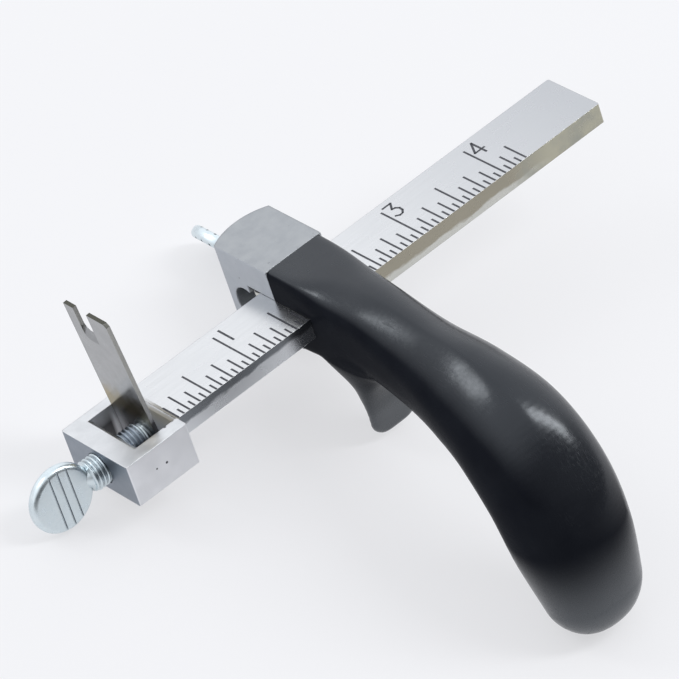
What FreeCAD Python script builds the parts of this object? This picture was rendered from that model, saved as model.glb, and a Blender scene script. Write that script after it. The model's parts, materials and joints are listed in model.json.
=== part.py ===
import FreeCAD, Part
import math
import os
import Sketcher

# A strap cutter (draw gauge) for leather. A pistol-shaped handle carries a graduated bar that slides
# sideways through its head, and a blade stands up out of a holder at the end of the bar. The strap's
# width is the gap between the blade and the flat left face of the head, which is the fence.
#
# Every sub-part is drawn in the tool's working axes, in millimetres:
#   X  along the bar, from the blade towards the free end; zero is the zero of the engraved scale
#   Y  across the bar, towards the nose of the head; zero is the middle of the bar
#   Z  out of the engraved face of the bar; zero is that face
# One placement, RESTING, then lays the whole tool on the bench the way it comes to rest: on the butt
# of the grip, the bar lock screw and the blade holder. Z is up there, and the bench is at Z = 0.

os.makedirs("parts", exist_ok=True)
doc = FreeCAD.newDocument("strap_cutter")
X_AXIS = FreeCAD.Vector(1, 0, 0)
Y_AXIS = FreeCAD.Vector(0, 1, 0)
Z_AXIS = FreeCAD.Vector(0, 0, 1)

# ---------------------------------------------------------------- driving dimensions

DIMENSIONS = [
    ("bar_start", 2.7, "near end of the bar, where it is brazed to the holder"),
    ("bar_end", 130.5, "free end of the bar"),
    ("bar_width", 18.0, "width of the bar"),
    ("bar_thickness", 5.2, "thickness of the bar"),
    ("bar_corner", 0.5, "corner radius at the free end of the bar"),
    ("holder_left", -14.8, "outer face of the blade holder"),
    ("holder_right", 2.7, "face of the holder that meets the bar"),
    ("holder_near", -12.1, "near side of the holder"),
    ("holder_far", 11.8, "far side of the holder"),
    ("holder_height", 11.0, "height of the holder, flush with the bar on top"),
    ("holder_edge", 0.4, "broken outer corners of the holder"),
    ("pocket_left", -8.2, "left wall of the blade pocket"),
    ("pocket_near", -8.5, "near wall of the blade pocket"),
    ("pocket_far", 8.9, "far wall of the blade pocket"),
    ("pocket_bevel", 1.2, "bevel along the left rim of the pocket"),
    ("lip_run", 0.6, "how far the sloping lip of the pocket cuts into the end of the bar"),
    ("lip_drop", 1.0, "depth of the lower edge of that lip"),
    ("lip_place", 1.9, "lower edge of that lip along the bar"),
    ("seat_drop", 4.2, "depth at which the blade's seat begins"),
    ("seat_place", -1.25, "top of the blade's seat along the bar"),
    ("blade_lean", 4.1, "lean of the seat and the blade, degrees"),
    ("blade_thickness", 1.0, "thickness of the blade"),
    ("blade_width", 15.4, "width of the blade"),
    ("blade_side_play", 0.15, "gap between the blade and the far wall of the pocket"),
    ("blade_top", 35.3, "top of the blade above the top of its seat"),
    ("blade_foot", 6.6, "foot of the blade below the top of its seat"),
    ("blade_seat_play", 0.02, "gap between the blade and its seat"),
    ("prong_width", 3.5, "width of the prong that forms one side of the throat"),
    ("throat_width", 4.9, "width of the throat that the leather passes"),
    ("throat_depth", 6.9, "depth of the throat at its cutting edge"),
    ("throat_round", 2.2, "radius of the bottom corner of the throat, on the prong's side"),
    ("edge_grind", 2.0, "how far the bevel of the cutting edge runs down the face of the blade"),
    ("blade_clip", 0.8, "clipped outer corner of the blade"),
    ("thread_radius", 3.95, "outer radius of both 5/16 inch screws"),
    ("bore_radius", 4.02, "radius of the holes for both screws"),
    ("screw_drop", 5.5, "blade screw below the engraved face"),
    ("screw_disc_place", -26.3, "middle of the blade screw's head along the bar"),
    ("screw_tip_gap", 0.06, "gap between the blade screw and the blade"),
    ("disc_radius", 8.2, "radius of the round thumb heads"),
    ("disc_thickness", 3.0, "thickness of the thumb heads"),
    ("disc_edge", 0.7, "rounded rim of the thumb heads"),
    ("neck_length", 3.2, "taper that runs the shank out into the head"),
    ("neck_radius", 1.45, "radius at the small end of that taper"),
    ("neck_overlap", 0.3, "how far that taper runs out past the rim of the head"),
    ("tip_bevel", 0.8, "bevel at the tip of a screw"),
    ("groove_width", 0.36, "grip grooves across the thumb heads"),
    ("groove_depth", 0.25, "depth of the grip grooves"),
    ("groove_pitch", 2.35, "spacing of the grip grooves"),
    ("groove_shift", 0.5, "middle groove off the middle of the head"),
    ("head_left", 41.9, "fence: left face of the head and the grip"),
    ("head_thickness", 16.6, "thickness of the head along the bar"),
    ("head_top", 8.0, "top of the head above the engraved face"),
    ("head_bottom", -13.0, "underside of the head"),
    ("head_nose", 22.5, "front corners of the head"),
    ("nose_crown", 2.35, "crown of the rounded nose face"),
    ("joint_place", 3.7, "joint between the bare head and the black grip"),
    ("slot_play", 0.1, "clearance of the bar in its slot"),
    ("slot_nose", 13.7, "nose end of the slot"),
    ("relief_place", 15.6, "middle of the round relief at the end of the slot"),
    ("relief_drop", 6.3, "middle of that relief below the engraved face"),
    ("relief_radius", 4.7, "radius of that relief"),
    ("lock_drop", 2.6, "bar lock screw below the engraved face"),
    ("lock_disc_place", 33.6, "middle of the bar lock screw's head"),
    ("lock_turn", 33.1, "turn of the bar lock screw's head, degrees"),
    ("lock_tip_gap", 0.05, "gap between the bar lock screw and its shoe"),
    ("shoe_width", 6.85, "width of the shoe that presses on the bar"),
    ("shoe_length", 14.6, "length of the shoe"),
    ("shoe_height", 3.0, "height of the shoe"),
    ("shoe_drop", 2.1, "top of the shoe below the engraved face"),
    ("shoe_play", 0.04, "gap between the shoe and the bar"),
    ("shoe_round", 3.3, "round ends of the shoe"),
    ("butt_reach", 8.8, "length of the domed end of the grip"),
    ("skin", 2.2, "wall of the grip over the tang, at the head"),
    ("tang_corner", 2.0, "radius of the long corners of the tang"),
    ("spur_left", 42.3, "left side of the finger spur"),
    ("spur_right", 56.8, "right side of the finger spur"),
    ("spur_taper", 1.5, "how much each side of the spur comes in at its tip"),
    ("spur_corner", 4.2, "rounded corners of the spur's tip"),
    ("spur_tip", -32.4, "tip of the finger spur"),
    ("rest_roll", -25.947, "turn of the tool about its bar as it lies on the bench, degrees"),
    ("rest_pitch", -8.112, "slope of the bar as the tool lies on the bench, degrees"),
    ("rest_shift_x", -48.403, "shift that centres the tool on the bench along X"),
    ("rest_shift_y", 32.076, "shift that centres the tool on the bench along Y"),
    ("rest_lift", 16.945, "lift that brings the lowest point to the bench"),
    ("overrun", 2.0, "how far a cutting shape runs past the face that it cuts"),
]

# Stations of the grip, from the head to the butt: back and rise of its middle, half its width along
# the bar, half its depth, and the radius of its long corners.
GRIP_STATIONS = [
    (3.7, -2.5, 8.3, 10.5, 0.7),
    (-10.0, -2.2, 8.3, 10.1, 2.4),
    (-24.0, -2.4, 7.7, 9.5, 4.4),
    (-38.0, -5.2, 8.3, 10.3, 6.0),
    (-52.0, -8.4, 10.5, 11.9, 8.4),
    (-64.0, -14.5, 12.7, 13.2, 10.8),
    (-71.4, -25.5, 13.7, 13.2, 11.6),
    (-74.7, -39.5, 13.6, 11.9, 10.8),
    (-76.5, -53.8, 11.6, 9.0, 8.6),
]
STATION_NAMES = ("back", "rise", "half_width", "half_depth", "corner")

# Sections of the grip's domed end, as degrees round the dome, and how bluntly they shrink.
DOME_DEGREES = (32, 56, 74, 86)
DOME_POWER = 0.9

# Wall of the grip over the tang at its first stations, as multiples of the wall at the head.
TANG_WALLS = (1.0, 1.0, 1.3, 1.8, 2.4)

sheet = doc.addObject("Spreadsheet::Sheet", "dimensions")


def enter(row, alias, value, note):
    sheet.set(f"A{row}", note)
    sheet.set(f"B{row}", str(value))
    sheet.setAlias(f"B{row}", alias)


for row, (alias, value, note) in enumerate(DIMENSIONS, start=1):
    enter(row, alias, value, note)
row = len(DIMENSIONS)
for number, station in enumerate(GRIP_STATIONS):
    for word, value in zip(STATION_NAMES, station):
        row += 1
        enter(row, f"grip_{word}_{number}", value, f"grip station {number}, {word}")
doc.recompute()


def size(alias):
    return float(sheet.get(alias))


HEAD_MIDDLE = size("head_left") + size("head_thickness") / 2


def bound(expression):
    """A sheet expression in which every word is an alias, such as "bar_width / 2"."""
    words = []
    for word in expression.split():
        is_name = word.replace("_", "").isalnum() and not word[0].isdigit()
        words.append("dimensions." + word if is_name else word)
    return " ".join(words)


# ---------------------------------------------------------------- drawing helpers

def new_body(name):
    body = doc.addObject("PartDesign::Body", name)
    body.Label = name
    return body


def new_sketch(body, name, plane, offset=None):
    """A sketch on one of the body's own origin planes, moved along the plane's normal by offset."""
    sketch = body.newObject("Sketcher::SketchObject", name)
    role = next(item for item in body.Origin.OriginFeatures if item.Role == plane)
    sketch.AttachmentSupport = [(role, "")]
    sketch.MapMode = "FlatFace"
    if offset:
        sketch.setExpression(".AttachmentOffset.Base.z", bound(offset))
    return sketch


def pin_point(sketch, geometry, end, across, along):
    """Hold one end of a line at a place given by two sheet expressions."""
    for kind, expression in (("DistanceX", across), ("DistanceY", along)):
        index = sketch.addConstraint(Sketcher.Constraint(kind, -1, 1, geometry, end, 1.0))
        sketch.setExpression(f"Constraints[{index}]", bound(expression))


def outline(sketch, corners):
    """A closed outline of straight lines through corners that sheet expressions give."""
    count = len(corners)
    start = sketch.GeometryCount
    turn = 2 * math.pi / count
    rough = [FreeCAD.Vector(math.cos(turn * k), math.sin(turn * k), 0) for k in range(count)]
    for k in range(count):
        sketch.addGeometry(Part.LineSegment(rough[k], rough[(k + 1) % count]), False)
    for k in range(count):
        following = start + (k + 1) % count
        sketch.addConstraint(Sketcher.Constraint("Coincident", start + k, 2, following, 1))
    for k, (across, along) in enumerate(corners):
        pin_point(sketch, start + k, 1, across, along)


def circle(sketch, across, along, radius):
    """A circle whose middle and radius are sheet expressions."""
    index = sketch.addGeometry(Part.Circle(FreeCAD.Vector(0.5, 0.5, 0), Z_AXIS, 1.0), False)
    pin_point(sketch, index, 3, across, along)
    held = sketch.addConstraint(Sketcher.Constraint("Radius", index, 1.0))
    sketch.setExpression(f"Constraints[{held}]", bound(radius))


def pad(body, sketch, length, reverse=False):
    feature = body.newObject("PartDesign::Pad", sketch.Name + "_pad")
    feature.Profile = sketch
    feature.setExpression("Length", bound(length))
    feature.Reversed = reverse
    doc.recompute()
    return feature


def pocket(body, sketch, length, reverse=False, slant=None):
    """Cut a sketch into the body, and make sure that the cut removed something.

    slant gives a direction that is not square to the sketch, as its runs along X and along Z.
    """
    before = body.Shape.Volume
    feature = body.newObject("PartDesign::Pocket", sketch.Name + "_pocket")
    feature.Profile = sketch
    feature.setExpression("Length", bound(length))
    feature.Reversed = reverse
    if slant:
        feature.UseCustomVector = True
        feature.Direction = FreeCAD.Vector(0, 0, 0)
        for axis, run in zip("xz", slant):
            feature.setExpression(f"Direction.{axis}", bound(run))
    doc.recompute()
    if not body.Shape.Volume < before - 1e-6:
        raise RuntimeError(f"{feature.Name} cuts nothing")
    return feature


def dress(body, kind, amount, wanted):
    """Round or bevel the edges of the body's tip that the function wanted picks out."""
    base = body.Tip
    names = [f"Edge{k}" for k, edge in enumerate(base.Shape.Edges, start=1) if wanted(edge)]
    if not names:
        raise RuntimeError(f"{body.Name} has no such edge to dress")
    feature = body.newObject("PartDesign::" + kind, f"{body.Name}_{kind.lower()}")
    feature.Base = (base, names)
    feature.setExpression("Radius" if kind == "Fillet" else "Size", bound(amount))
    doc.recompute()
    return feature


def runs_along(edge, direction):
    if not isinstance(edge.Curve, Part.Line):
        return False
    return abs(abs(edge.tangentAt(edge.FirstParameter).dot(direction)) - 1) < 1e-6


def middle(edge):
    return edge.CenterOfMass


def box(name, low, high):
    """A plain box between two corners given as triples of sheet expressions."""
    shape = doc.addObject("Part::Box", name)
    for word, axis, start, stop in zip(("Length", "Width", "Height"), "xyz", low, high):
        shape.setExpression(f".Placement.Base.{axis}", bound(start))
        shape.setExpression(word, bound(f"( {stop} ) - ( {start} )"))
    return shape


def cylinder(name, radius, length, rotation, place):
    shape = doc.addObject("Part::Cylinder", name)
    shape.setExpression("Radius", bound(radius))
    shape.setExpression("Height", bound(length))
    shape.Placement = FreeCAD.Placement(FreeCAD.Vector(0, 0, 0), rotation)
    for axis, expression in zip("xyz", place):
        shape.setExpression(f".Placement.Base.{axis}", bound(expression))
    return shape


def fuse(name, pieces):
    shape = doc.addObject("Part::MultiFuse", name)
    shape.Shapes = pieces
    return shape


def cut(name, base, tool):
    shape = doc.addObject("Part::Cut", name)
    shape.Base = base
    shape.Tool = tool
    return shape


# ---------------------------------------------------------------- bar and blade holder

def graduated_bar():
    body = new_body("graduated_bar")
    side = new_sketch(body, "bar_side", "XZ_Plane", "- bar_width / 2")
    lip_slope = "lip_drop / ( bar_start + lip_run - lip_place )"
    outline(side, [("bar_start", "- bar_thickness"), ("bar_end", "- bar_thickness"), ("bar_end", "0"),
                   ("bar_start + lip_run", "0"), ("bar_start", f"- lip_run * {lip_slope}")])
    pad(body, side, "bar_width")
    far = size("bar_end")
    dress(body, "Fillet", "bar_corner",
          lambda edge: runs_along(edge, Z_AXIS) and abs(middle(edge).x - far) < 1e-6)
    return body


def blade_holder():
    """A block with a pocket right through it for the blade and a threaded hole for its screw."""
    body = new_body("blade_holder")
    plan = new_sketch(body, "holder_plan", "XY_Plane")
    outline(plan, [("holder_left", "holder_near"), ("holder_right", "holder_near"),
                   ("holder_right", "holder_far"), ("holder_left", "holder_far")])
    pad(body, plan, "holder_height", reverse=True)
    dress(body, "Fillet", "holder_edge", lambda edge: runs_along(edge, Z_AXIS))

    # The pocket's cross-section: a bevelled left rim, a leaning seat for the blade, and over the seat
    # two slopes that open up to the top of the bar, so that the edge of the blade can be read off there.
    section = new_sketch(body, "pocket_section", "XZ_Plane", "- pocket_far")
    foot = "- holder_height - overrun"
    lean = "( holder_height + overrun - seat_drop ) * tan( blade_lean * 1deg )"
    outline(section, [("pocket_left - pocket_bevel", "0"), ("pocket_left", "- pocket_bevel"),
                      ("pocket_left", foot), (f"seat_place + {lean}", foot),
                      ("seat_place", "- seat_drop"), ("lip_place", "- lip_drop"),
                      ("bar_start + lip_run", "0")])
    pocket(body, section, "pocket_far - pocket_near", reverse=True)

    bore = new_sketch(body, "screw_bore", "YZ_Plane", "holder_left")
    circle(bore, "0", "- screw_drop", "bore_radius")
    pocket(body, bore, "pocket_left - holder_left", reverse=True)
    return body


def blade():
    """The blade upright, its back on the plane X = 0 and its pivot at the foot of the seat's lip."""
    body = new_body("blade")
    near = "pocket_far - blade_side_play - blade_width"
    far = "pocket_far - blade_side_play"
    inner = f"{far} - prong_width"
    outer = f"{inner} - throat_width"
    face = new_sketch(body, "blade_face", "YZ_Plane", "- blade_thickness")
    outline(face, [(near, "- blade_foot"), (far, "- blade_foot"), (far, "blade_top"),
                   (f"{near} + blade_clip", "blade_top"), (near, "blade_top - blade_clip")])
    pad(body, face, "blade_thickness")

    # The throat is ground through at a slant, so that its bottom is a cutting edge at the back of the
    # blade: a slot, a narrower slot below it, and a round in the corner between them.
    above = "blade_top + edge_grind + blade_clip"
    bottom = "blade_top - throat_depth"
    upper_slot = new_sketch(body, "blade_upper_slot", "YZ_Plane")
    outline(upper_slot, [(outer, above), (inner, above), (inner, f"{bottom} + throat_round"),
                         (outer, f"{bottom} + throat_round")])
    lower_slot = new_sketch(body, "blade_lower_slot", "YZ_Plane")
    outline(lower_slot, [(outer, above), (f"{inner} - throat_round", above),
                         (f"{inner} - throat_round", bottom), (outer, bottom)])
    corner = new_sketch(body, "blade_throat_round", "YZ_Plane")
    circle(corner, f"{inner} - throat_round", f"{bottom} + throat_round", "throat_round")
    for sketch in (upper_slot, lower_slot, corner):
        pocket(body, sketch, "blade_thickness", slant=("- blade_thickness", "- edge_grind"))
    return body


# ---------------------------------------------------------------- screws and shoe

def thumb_screw(name, reach):
    """A screw along X from a round flat head to its tip, with the middle of the head at the origin.

    reach is the sheet expression for the distance from the middle of the head to the tip.
    """
    body = new_body(name)
    half = "disc_thickness / 2"
    face = new_sketch(body, name + "_face", "XZ_Plane", f"- {half}")
    circle(face, "0", "0", "disc_radius")
    pad(body, face, "disc_thickness")
    dress(body, "Fillet", "disc_edge", lambda edge: isinstance(edge.Curve, Part.Circle))

    # Three grip grooves across each side of the head, at right angles to the shank.
    for side, offset in (("front", f"{half} - groove_depth"), ("back", f"- {half}")):
        grooves = new_sketch(body, f"{name}_{side}_grooves", "XZ_Plane", offset)
        for step in (-1, 0, 1):
            place = f"{step} * groove_pitch + groove_shift"
            left = f"{place} - groove_width / 2"
            right = f"{place} + groove_width / 2"
            outline(grooves, [(left, "- disc_radius"), (right, "- disc_radius"),
                              (right, "disc_radius"), (left, "disc_radius")])
        pocket(body, grooves, "groove_depth", reverse=True)

    shank = new_sketch(body, name + "_shank", "XZ_Plane")
    outline(shank, [("disc_radius - neck_length", "0"), (reach, "0"),
                    (reach, "thread_radius - tip_bevel"), (f"{reach} - tip_bevel", "thread_radius"),
                    ("disc_radius + neck_overlap", "thread_radius"),
                    ("disc_radius - neck_length", "neck_radius")])
    turned = body.newObject("PartDesign::Revolution", name + "_turned")
    turned.Profile = shank
    turned.ReferenceAxis = (shank, ["H_Axis"])
    turned.Angle = 360.0
    doc.recompute()
    return body


def bar_lock_shoe():
    """The loose shoe in the slot, between the lock screw and the edge of the bar."""
    body = new_body("bar_lock_shoe")
    plan = new_sketch(body, "shoe_plan", "XY_Plane", "- shoe_drop")
    left = "head_left + ( head_thickness - shoe_length ) / 2"
    right = "head_left + ( head_thickness + shoe_length ) / 2"
    near = "bar_width / 2 + shoe_play"
    far = "bar_width / 2 + shoe_play + shoe_width"
    outline(plan, [(left, near), (right, near), (right, far), (left, far)])
    pad(body, plan, "shoe_height", reverse=True)
    dress(body, "Fillet", "shoe_round", lambda edge: runs_along(edge, Z_AXIS))
    return body


# ---------------------------------------------------------------- grip, tang and head

def rounded_section(centre, normal, half_width, half_depth, corner):
    """A rectangle with round corners across the grip, as four lines and four arcs in one wire."""
    straight_x = half_width - corner
    straight_n = half_depth - corner
    edges = []
    for quarter in range(4):
        angle = quarter * math.pi / 2
        sign_x = 1 if quarter in (0, 3) else -1
        sign_n = 1 if quarter in (0, 1) else -1
        hub = centre + X_AXIS * (sign_x * straight_x) + normal * (sign_n * straight_n)
        points = []
        for part in (0.0, 0.5, 1.0):
            direction = angle + part * math.pi / 2
            spoke = X_AXIS * math.cos(direction) + normal * math.sin(direction)
            points.append(hub + spoke * corner)
        edges.append(points)
    wire_edges = []
    for quarter in range(4):
        points = edges[quarter]
        wire_edges.append(Part.Arc(*points).toShape())
        wire_edges.append(Part.makeLine(points[2], edges[(quarter + 1) % 4][0]))
    return Part.Wire(wire_edges)


def station(number):
    return [size(f"grip_{word}_{number}") for word in STATION_NAMES]


def grip_frames():
    """Middle, direction back along the grip and upward normal at every station."""
    middles = [FreeCAD.Vector(HEAD_MIDDLE, *station(k)[:2]) for k in range(len(GRIP_STATIONS))]
    frames = []
    for k, centre in enumerate(middles):
        ahead = middles[min(k + 1, len(middles) - 1)]
        behind = middles[max(k - 1, 0)]
        back = (ahead - behind).normalize()
        if k == 0:
            back = FreeCAD.Vector(0, -1, 0)
        frames.append((centre, back, X_AXIS.cross(back) * -1))
    return frames


def grip_loft():
    wires = []
    frames = grip_frames()
    for k, (centre, back, normal) in enumerate(frames):
        half_width, half_depth, corner = station(k)[2:]
        wires.append(rounded_section(centre, normal, half_width, half_depth, corner))
    centre, back, normal = frames[-1]
    half_width, half_depth, corner = station(len(frames) - 1)[2:]
    for degrees in DOME_DEGREES:
        angle = math.radians(degrees)
        scale = math.cos(angle) ** DOME_POWER
        place = centre + back * (size("butt_reach") * math.sin(angle))
        wires.append(rounded_section(place, normal, half_width * scale, half_depth * scale, corner * scale))
    return Part.makeLoft(wires, True, False)


def tang_loft():
    """The part of the casting that lies inside the grip, slimmer towards its end."""
    wires = []
    for number, ((centre, back, normal), share) in enumerate(zip(grip_frames(), TANG_WALLS)):
        half_width, half_depth = station(number)[2:4]
        wall = size("skin") * share
        wires.append(rounded_section(centre, normal, half_width - wall, half_depth - wall,
                                     size("tang_corner")))
    return Part.makeLoft(wires, True, False)


def spur_shape():
    """The finger spur: a curved tongue under the grip, slimmer and rounded towards its tip."""
    tip = size("spur_tip")
    front = [(-3.0, -12.0), (-8.0, -13.3), (-13.5, -15.7), (-16.8, -20.0), (-17.0, -25.0),
             (-15.3, tip + 1.2)]
    rear = [(-17.7, tip + 0.9), (-19.9, -26.0), (-21.8, -19.0), (-26.0, -12.0)]
    root = [(-26.0, -5.0), (-3.0, -5.0)]

    def point(pair):
        return FreeCAD.Vector(0, pair[0], pair[1])

    front_curve = Part.BSplineCurve()
    front_curve.interpolate([point(pair) for pair in front])
    rear_curve = Part.BSplineCurve()
    rear_curve.interpolate([point(pair) for pair in rear])
    tip_arc = Part.Arc(point(front[-1]), point((-16.6, tip)), point(rear[0]))
    lines = [Part.makeLine(point(rear[-1]), point(root[0])), Part.makeLine(point(root[0]), point(root[1])),
             Part.makeLine(point(root[1]), point(front[0]))]
    side = Part.Wire([front_curve.toShape(), tip_arc.toShape(), rear_curve.toShape()] + lines)
    left = size("spur_left")
    right = size("spur_right")
    side.translate(FreeCAD.Vector(left, 0, 0))
    profile = Part.Face(side).extrude(FreeCAD.Vector(right - left, 0, 0))

    taper = size("spur_taper")
    across = [(left, 0), (left, -14), (left + taper, tip), (right - taper, tip), (right, -14), (right, 0)]
    corners = [FreeCAD.Vector(x, 5, z) for x, z in across]
    tongue = Part.Face(Part.makePolygon(corners + corners[:1])).extrude(FreeCAD.Vector(0, -45, 0))
    sharp = [edge for edge in tongue.Edges if runs_along(edge, Y_AXIS) and abs(middle(edge).z - tip) < 1e-6]
    tongue = tongue.makeFillet(size("spur_corner"), sharp)
    return profile.common(tongue)


def feature(name, shape):
    item = doc.addObject("Part::Feature", name)
    item.Shape = shape
    return item


def head_block():
    """The bare head: a block with a crowned nose."""
    body = new_body("head_block")
    plan = new_sketch(body, "head_plan", "XY_Plane", "head_bottom")
    right = "head_left + head_thickness"
    left_edge = plan.addGeometry(Part.LineSegment(FreeCAD.Vector(0, 2, 0), FreeCAD.Vector(0, 0, 0)), False)
    rear_edge = plan.addGeometry(Part.LineSegment(FreeCAD.Vector(0, 0, 0), FreeCAD.Vector(2, 0, 0)), False)
    right_edge = plan.addGeometry(Part.LineSegment(FreeCAD.Vector(2, 0, 0), FreeCAD.Vector(2, 2, 0)), False)
    arc = Part.Arc(FreeCAD.Vector(2, 2, 0), FreeCAD.Vector(1, 2.3, 0), FreeCAD.Vector(0, 2, 0))
    nose = plan.addGeometry(arc, False)
    pin_point(plan, left_edge, 1, "head_left", "head_nose")
    pin_point(plan, left_edge, 2, "head_left", "joint_place")
    pin_point(plan, right_edge, 1, right, "joint_place")
    pin_point(plan, right_edge, 2, right, "head_nose")
    plan.addConstraint(Sketcher.Constraint("Coincident", left_edge, 2, rear_edge, 1))
    plan.addConstraint(Sketcher.Constraint("Coincident", rear_edge, 2, right_edge, 1))
    plan.addConstraint(Sketcher.Constraint("Coincident", right_edge, 2, nose, 1))
    plan.addConstraint(Sketcher.Constraint("Coincident", nose, 2, left_edge, 1))
    held = plan.addConstraint(Sketcher.Constraint("Radius", nose, 1.8))
    chord = "( head_thickness / 2 ) ^ 2"
    plan.setExpression(f"Constraints[{held}]", bound(f"( {chord} + nose_crown ^ 2 ) / ( 2 * nose_crown )"))
    pad(body, plan, "head_top - head_bottom")
    return body


grip_form = feature("grip_form", grip_loft())
spur_form = feature("spur_form", spur_shape())
tang_form = feature("tang_form", tang_loft())
head_body = head_block()

# The way through the head: the slot for the bar, a round relief at its end, and the lock screw's hole.
slot = box("bar_slot",
           ("head_left - overrun", "- bar_width / 2 - slot_play", "- bar_thickness - slot_play"),
           ("head_left + head_thickness + overrun", "slot_nose", "slot_play"))
relief = cylinder("slot_relief", "relief_radius", "head_thickness + 2 * overrun",
                  FreeCAD.Rotation(Y_AXIS, 90), ("head_left - overrun", "relief_place", "- relief_drop"))
lock_bore = cylinder("lock_bore", "bore_radius", "head_nose + nose_crown + overrun - slot_nose",
                     FreeCAD.Rotation(X_AXIS, -90),
                     ("head_left + head_thickness / 2", "slot_nose", "- lock_drop"))
head_way = fuse("head_way", [slot, relief, lock_bore])
head_solid = fuse("head_solid", [head_body, tang_form])
head_frame = cut("head_frame", head_solid, head_way)

grip_solid = fuse("grip_solid", [grip_form, spur_form])
grip_way = fuse("grip_way", [tang_form, slot])
grip = cut("grip", grip_solid, grip_way)

# ---------------------------------------------------------------- the whole tool, laid on the bench

tilt = FreeCAD.Rotation(Y_AXIS, size("rest_pitch")).multiply(FreeCAD.Rotation(X_AXIS, size("rest_roll")))
lift = FreeCAD.Vector(size("rest_shift_x"), size("rest_shift_y"), size("rest_lift"))
RESTING = FreeCAD.Placement(lift, tilt)

lean = math.tan(math.radians(size("blade_lean")))
blade_front = size("seat_place") - size("blade_seat_play") - size("blade_thickness")
screw_height = size("screw_drop") - size("seat_drop")
blade_place = FreeCAD.Placement(
    FreeCAD.Vector(size("seat_place") - size("blade_seat_play"), 0, -size("seat_drop")),
    FreeCAD.Rotation(Y_AXIS, -size("blade_lean")))

# The blade leans back to the right below its pivot, so the tip of the screw is held off the blade's
# face at the top of the tip's flat.
tip_flat = size("thread_radius") - size("tip_bevel")
touch = blade_front + (screw_height - tip_flat) * lean
sheet_row = row + 1
enter(sheet_row, "blade_screw_reach", round(touch - size("screw_tip_gap") - size("screw_disc_place"), 3),
      "middle of the blade screw's head to its tip")
enter(sheet_row + 1, "lock_screw_reach",
      round(size("lock_disc_place") - size("bar_width") / 2 - size("shoe_play") - size("shoe_width")
            - size("lock_tip_gap"), 3),
      "middle of the bar lock screw's head to its tip")
doc.recompute()

blade_screw_place = FreeCAD.Placement(
    FreeCAD.Vector(size("screw_disc_place"), 0, -size("screw_drop")), FreeCAD.Rotation())
lock_screw_place = FreeCAD.Placement(
    FreeCAD.Vector(HEAD_MIDDLE, size("lock_disc_place"), -size("lock_drop")),
    FreeCAD.Rotation(Z_AXIS, -90).multiply(FreeCAD.Rotation(X_AXIS, size("lock_turn"))))

NODES = [
    (head_frame, FreeCAD.Placement()),
    (grip, FreeCAD.Placement()),
    (graduated_bar(), FreeCAD.Placement()),
    (blade_holder(), FreeCAD.Placement()),
    (blade(), blade_place),
    (thumb_screw("blade_screw", "blade_screw_reach"), blade_screw_place),
    (thumb_screw("bar_lock_screw", "lock_screw_reach"), lock_screw_place),
    (bar_lock_shoe(), FreeCAD.Placement()),
]
for node, own_place in NODES:
    node.Placement = RESTING.multiply(own_place)
doc.recompute()

# ---------------------------------------------------------------- checks and export

for item in doc.Objects:
    if "Invalid" in item.State or "Error" in item.State:
        raise RuntimeError(f"{item.Name} did not recompute: {item.State}")
for node, own_place in NODES:
    shape = node.Shape
    if shape.isNull() or not shape.isValid():
        raise RuntimeError(f"{node.Label} has no valid shape")
    if len(shape.Solids) != 1:
        raise RuntimeError(f"{node.Label} has {len(shape.Solids)} solids")
    shape.exportStep(f"parts/{node.Label}.step")
    bounds = shape.BoundBox
    print(f"{node.Label}: {shape.Volume:.1f} mm3, X {bounds.XMin:.2f} to {bounds.XMax:.2f}, "
          f"Y {bounds.YMin:.2f} to {bounds.YMax:.2f}, Z {bounds.ZMin:.2f} to {bounds.ZMax:.2f}")
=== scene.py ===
import json
import math

import bmesh
import bpy
from mathutils import Matrix, Vector


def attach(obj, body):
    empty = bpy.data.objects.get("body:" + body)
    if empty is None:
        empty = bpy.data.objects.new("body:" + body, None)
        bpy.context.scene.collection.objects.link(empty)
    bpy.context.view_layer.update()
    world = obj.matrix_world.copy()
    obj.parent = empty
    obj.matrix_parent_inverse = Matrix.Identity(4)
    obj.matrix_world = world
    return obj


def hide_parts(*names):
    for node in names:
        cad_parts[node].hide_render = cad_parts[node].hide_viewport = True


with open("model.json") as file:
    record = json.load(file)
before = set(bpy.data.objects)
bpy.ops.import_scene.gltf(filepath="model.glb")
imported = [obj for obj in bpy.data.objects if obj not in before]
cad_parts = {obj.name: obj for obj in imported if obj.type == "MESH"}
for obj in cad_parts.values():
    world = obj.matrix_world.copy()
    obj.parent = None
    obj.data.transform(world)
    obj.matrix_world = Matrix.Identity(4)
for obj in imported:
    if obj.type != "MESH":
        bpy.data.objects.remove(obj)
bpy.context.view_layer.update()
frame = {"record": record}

# A strap cutter on a pale bench. The tool's lengths are millimetres in its working axes: X along the
# bar from the scale's zero, Y across the bar towards the nose of the head, Z out of the engraved face.
# TO_BENCH turns them into the frame's metres.

mounts = {mount["name"]: mount for mount in frame["record"]["mounts"]}
AXIS_X = Vector(mounts["bar_end"]["axis"]).normalized()
AXIS_Z = Vector(mounts["head_top"]["axis"]).normalized()
AXIS_Y = AXIS_Z.cross(AXIS_X)
UP_AT_REST = (AXIS_X.z, AXIS_Y.z, AXIS_Z.z)
MM = 0.001

INCH = 25.4
BAR_HALF_WIDTH = 9.0
BAR_THICKNESS = 5.2
HEAD_LEFT = 41.9
HEAD_THICKNESS = 16.6
HEAD_MIDDLE = HEAD_LEFT + HEAD_THICKNESS / 2
HEAD_TOP = (HEAD_MIDDLE, 13.0, 8.0)
JOINT_Y = 3.7
SLOT_PLAY = 0.1
CUT_OVERRUN = 2.0


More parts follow.
